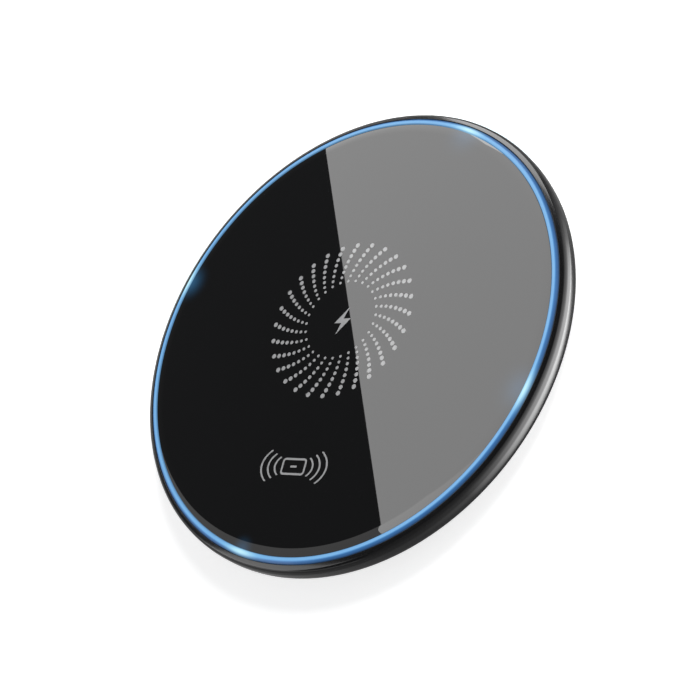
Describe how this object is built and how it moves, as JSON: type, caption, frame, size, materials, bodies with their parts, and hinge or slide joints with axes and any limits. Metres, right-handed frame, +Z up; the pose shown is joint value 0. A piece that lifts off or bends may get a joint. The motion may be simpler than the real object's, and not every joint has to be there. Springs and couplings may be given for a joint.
{
  "type": "wireless charging pad",
  "caption": "Thin round wireless charging pad with a glossy glass top inside a glowing ring, a rounded side wall, a USB-C socket and a rubber foot ring.",
  "frame": {"origin": "centre of the rubber foot ring's resting face, at the bottom centre of the bounding box", "axes": "+Z up out of the glass; +X the way the printed symbol reads; +Y to the rear, out of the USB-C socket"},
  "size_m": [0.1, 0.1, 0.0075],
  "materials": {
    "top_glass": "gloss, black-backed",
    "light_guide": "frosted clear acrylic, lit blue",
    "frame_plastic": "high gloss",
    "base_plastic": "fine texture",
    "foot_rubber": "matte silicone",
    "label": "blank satin label",
    "plated_steel": "nickel plated",
    "clear_adhesive": "double-sided film",
    "white_film": "white reflector film",
    "coil_wire": "enamelled copper litz",
    "ferrite": "sintered ferrite",
    "board": "green solder mask",
    "chip_epoxy": "moulded epoxy",
    "ceramic": "ceramic chip",
    "led": "LED package",
    "print": "grey ink printed on the glass"
  },
  "bodies": {
    "root": {"top_glass": "top_glass", "light_guide_ring": "light_guide", "side_frame": "frame_plastic", "base_cover": "base_plastic", "anti_slip_ring": "foot_rubber", "rating_label": "label", "usb_c_shell": "plated_steel", "glass_adhesive_ring": "clear_adhesive", "reflector_film": "white_film", "tx_coil": "coil_wire", "coil_adhesive_ring": "clear_adhesive", "ferrite_plate": "ferrite", "ferrite_adhesive_sheet": "clear_adhesive", "thermistor": "chip_epoxy", "main_board": "board", "usb_c_tongue": "chip_epoxy", "controller_ic": "chip_epoxy", "bridge_driver_ic": "chip_epoxy", "power_delivery_ic": "chip_epoxy", "voltage_regulator": "chip_epoxy", "crystal": "plated_steel", "sense_resistor": "chip_epoxy", "resonant_cap_1": "ceramic", "resonant_cap_2": "ceramic", "resonant_cap_3": "ceramic", "resonant_cap_4": "ceramic", "bulk_cap_1": "ceramic", "bulk_cap_2": "ceramic", "led_1": "led", "led_2": "led", "led_3": "led", "led_4": "led", "case_screw_1": "plated_steel", "case_screw_2": "plated_steel", "case_screw_3": "plated_steel", "case_screw_4": "plated_steel", "board_screw_1": "plated_steel", "board_screw_2": "plated_steel", "board_screw_3": "plated_steel"}
  },
  "joints": []
}
